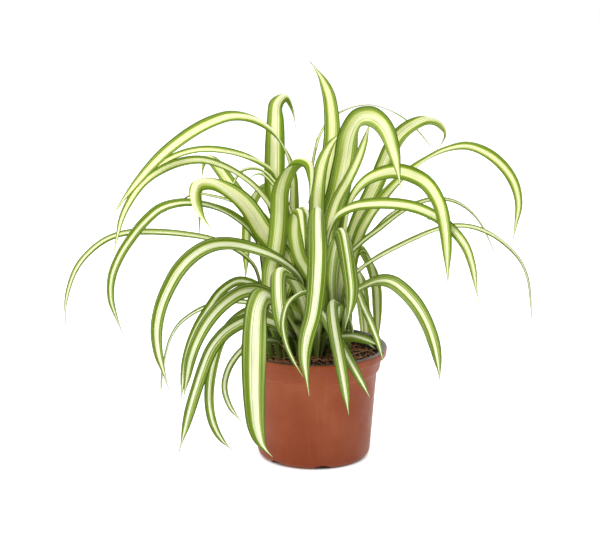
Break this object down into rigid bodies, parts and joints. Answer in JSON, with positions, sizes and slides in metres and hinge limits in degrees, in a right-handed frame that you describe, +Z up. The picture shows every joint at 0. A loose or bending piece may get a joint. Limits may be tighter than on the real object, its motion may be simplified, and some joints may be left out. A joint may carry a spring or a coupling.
{
  "type": "potted spider plant",
  "caption": "Clump of long arching striped strap leaves rising from potting mix in a tapered round nursery pot with a rolled rim and drain slots.",
  "frame": {"origin": "centre of the pot's flat underside, on the surface that the pot stands on", "axes": "+Z up along the pot's axis; -Y toward the side on which the broad front leaves hang over the pot; +X to the right of that view"},
  "size_m": [0.3783, 0.2731, 0.3147],
  "materials": {
    "pot_plastic": "satin terracotta-brown thermoplastic, dark grey on the inside and along the rim's edge",
    "potting_mix": "rough dark brown peat with orange-brown coir fibres",
    "leaf_blade": "soft satin living leaf, green margins with a cream stripe along the middle"
  },
  "bodies": {
    "root": {"leaf_back_01": "leaf_blade", "leaf_back_02": "leaf_blade", "leaf_back_03": "leaf_blade", "leaf_back_04": "leaf_blade", "leaf_back_05": "leaf_blade", "leaf_back_06": "leaf_blade", "leaf_back_07": "leaf_blade", "leaf_back_08": "leaf_blade", "leaf_back_09": "leaf_blade", "leaf_back_10": "leaf_blade", "leaf_back_11": "leaf_blade", "leaf_back_12": "leaf_blade", "leaf_front_01": "leaf_blade", "leaf_front_02": "leaf_blade", "leaf_front_03": "leaf_blade", "leaf_front_04": "leaf_blade", "leaf_front_05": "leaf_blade", "leaf_front_06": "leaf_blade", "leaf_front_07": "leaf_blade", "leaf_front_08": "leaf_blade", "leaf_front_09": "leaf_blade", "leaf_front_10": "leaf_blade", "leaf_left_01": "leaf_blade", "leaf_left_02": "leaf_blade", "leaf_left_03": "leaf_blade", "leaf_left_04": "leaf_blade", "leaf_left_05": "leaf_blade", "leaf_left_06": "leaf_blade", "leaf_left_07": "leaf_blade", "leaf_left_08": "leaf_blade", "leaf_left_09": "leaf_blade", "leaf_left_10": "leaf_blade", "leaf_left_11": "leaf_blade", "leaf_left_12": "leaf_blade", "leaf_left_13": "leaf_blade", "leaf_left_14": "leaf_blade", "leaf_left_15": "leaf_blade", "leaf_left_16": "leaf_blade", "leaf_left_17": "leaf_blade", "leaf_left_18": "leaf_blade", "leaf_right_01": "leaf_blade", "leaf_right_02": "leaf_blade", "leaf_right_03": "leaf_blade", "leaf_right_04": "leaf_blade", "leaf_right_05": "leaf_blade", "leaf_right_06": "leaf_blade", "leaf_right_07": "leaf_blade", "leaf_right_08": "leaf_blade", "leaf_right_09": "leaf_blade", "leaf_right_10": "leaf_blade", "leaf_right_11": "leaf_blade", "leaf_right_12": "leaf_blade", "leaf_right_13": "leaf_blade", "pot": "pot_plastic", "potting_mix": "potting_mix"}
  },
  "joints": []
}
